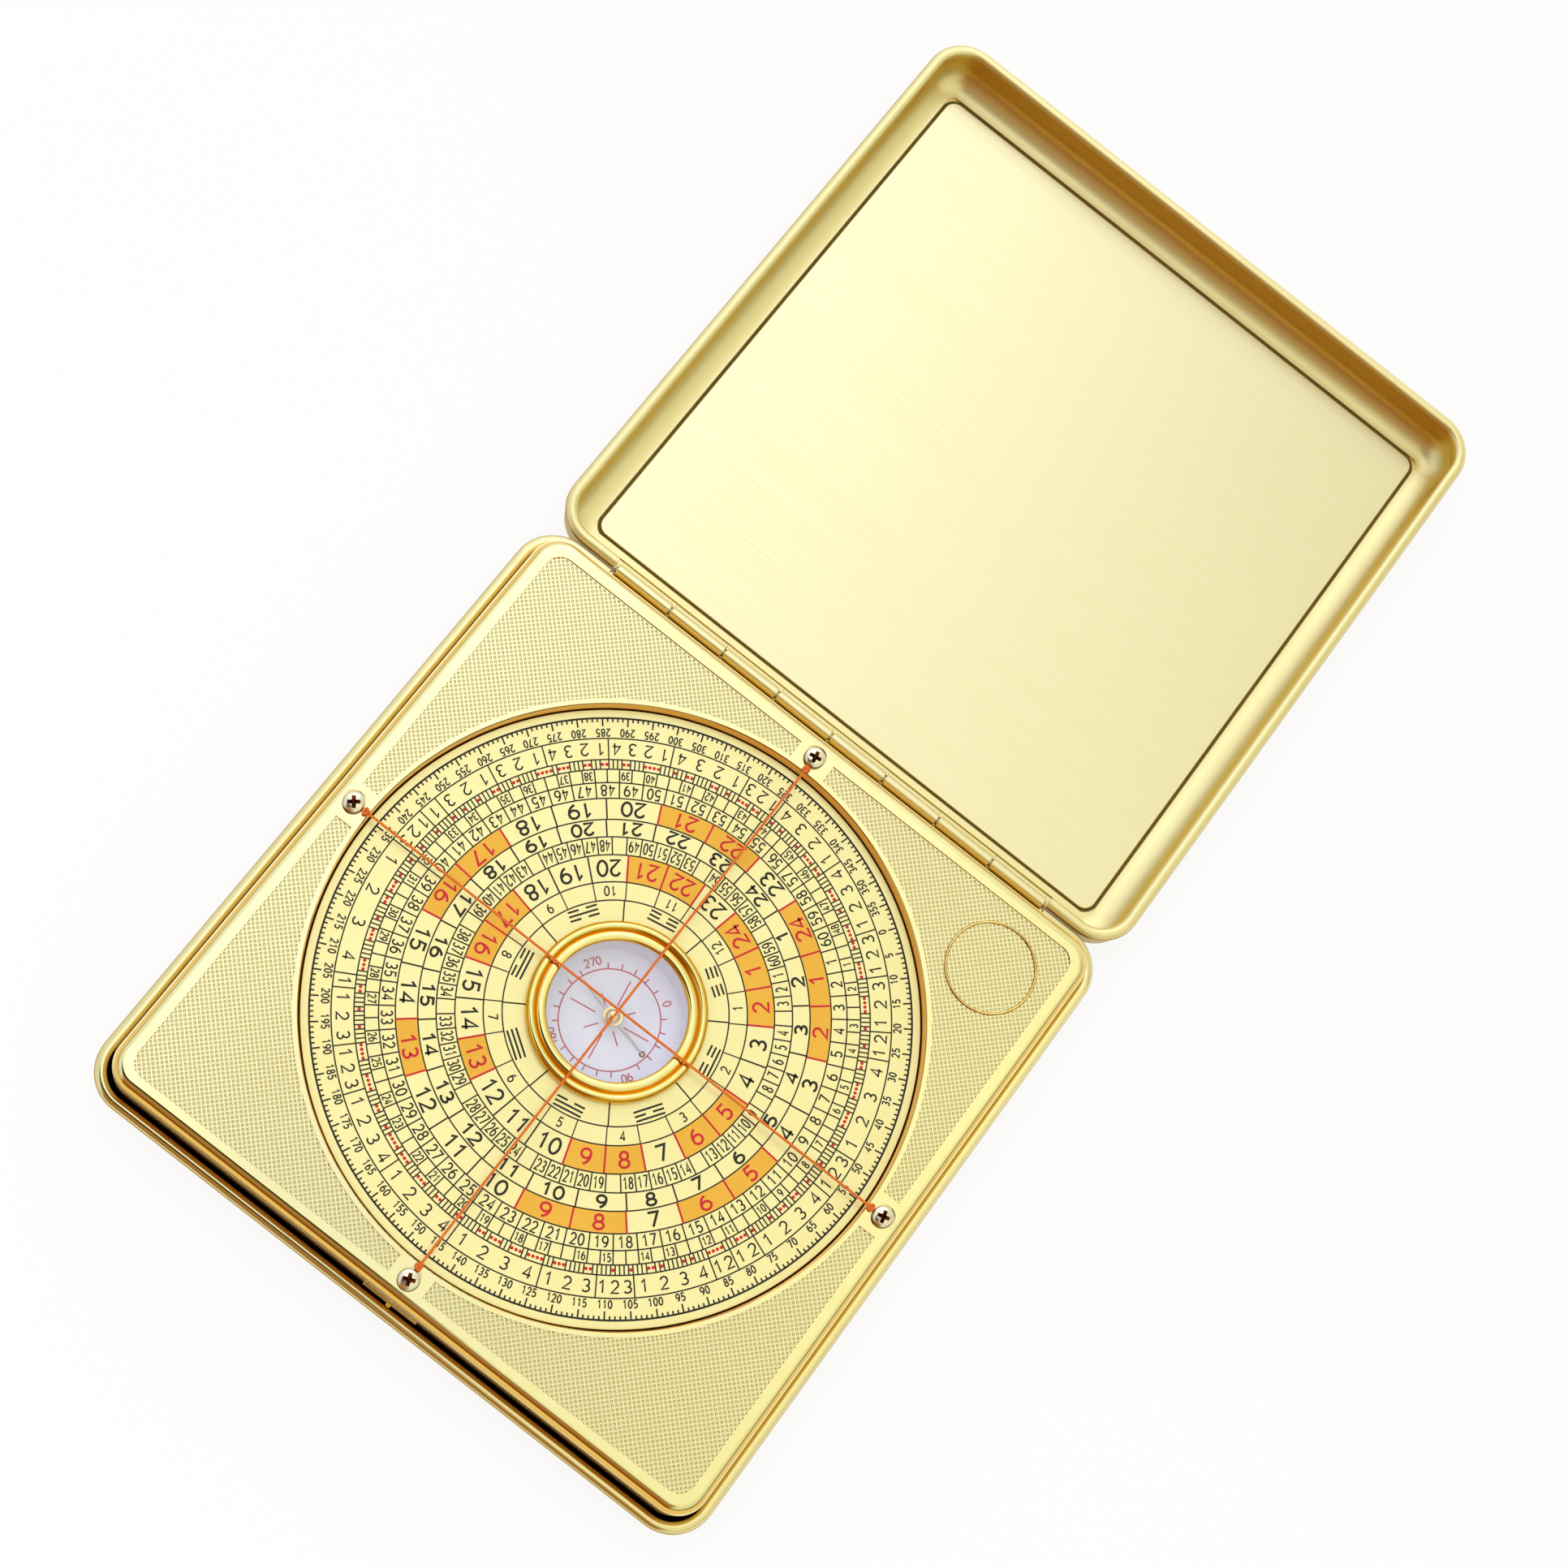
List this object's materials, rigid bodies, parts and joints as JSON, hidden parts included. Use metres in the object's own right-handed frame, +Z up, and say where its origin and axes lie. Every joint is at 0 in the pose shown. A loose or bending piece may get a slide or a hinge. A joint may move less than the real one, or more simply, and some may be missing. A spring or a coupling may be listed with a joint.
{
  "type": "feng shui compass",
  "caption": "Pocket feng shui compass: a turning printed dial with a needle compass in its middle, crossed threads over it, in a hinged square gold sheet-metal case.",
  "frame": {"origin": "middle of the base's flat underside, under the dial's centre", "axes": "+X along the hinge, +Y from the front edge to the hinge and on over the open lid, +Z up"},
  "size_m": [0.1, 0.2003, 0.0154],
  "materials": {
    "satin_gold_shell": "satin pale gold",
    "mirror_gold_plating": "mirror gold plating on a moulding, with woven texture fields",
    "polished_gold": "polished",
    "brushed_brass": "finely brushed",
    "screw_steel": "polished",
    "pin_steel": "drawn wire",
    "red_thread": "twisted thread",
    "printed_dial": "pale gold with printed rings",
    "dark_plastic": "moulded",
    "white_plastic": "moulded",
    "card_white": "printed card",
    "clear_window": "clear",
    "needle_steel": "bright",
    "cap_brass": "turned"
  },
  "bodies": {
    "case_base": {"base_shell": "satin_gold_shell", "support_plate": "dark_plastic", "slip_ring": "white_plastic", "earth_plate": "mirror_gold_plating", "base_hinge_leaf": "satin_gold_shell", "hinge_pin": "pin_steel", "catch_spring": "polished_gold", "screw_front": "screw_steel", "screw_back": "screw_steel", "screw_left": "screw_steel", "screw_right": "screw_steel", "thread_side_to_side": "red_thread", "thread_front_to_back": "red_thread"},
    "dial": {"dial_carrier": "dark_plastic", "dial_plate": "printed_dial", "bezel_ring": "polished_gold", "capsule_cup": "white_plastic", "compass_card": "card_white", "capsule_window": "clear_window", "pivot_pin": "pin_steel"},
    "needle": {"needle": "needle_steel", "needle_cap": "cap_brass"},
    "lid": {"lid_shell": "satin_gold_shell", "lid_panel": "brushed_brass", "lid_hinge_leaf": "satin_gold_shell"}
  },
  "joints": [
    {"name": "lid_hinge", "type": "hinge", "parent": "case_base", "child": "lid", "pos_m": [0, 0.05015, 0.00865], "axis": [1, 0, 0], "range_deg": [0, 180]},
    {"name": "dial_turn", "type": "hinge", "parent": "case_base", "child": "dial", "pos_m": [0, 0, 0.01235], "axis": [0, 0, 1], "continuous": true},
    {"name": "needle_swing", "type": "hinge", "parent": "dial", "child": "needle", "pos_m": [0, 0, 0.0088], "axis": [0, 0, 1], "continuous": true}
  ]
}
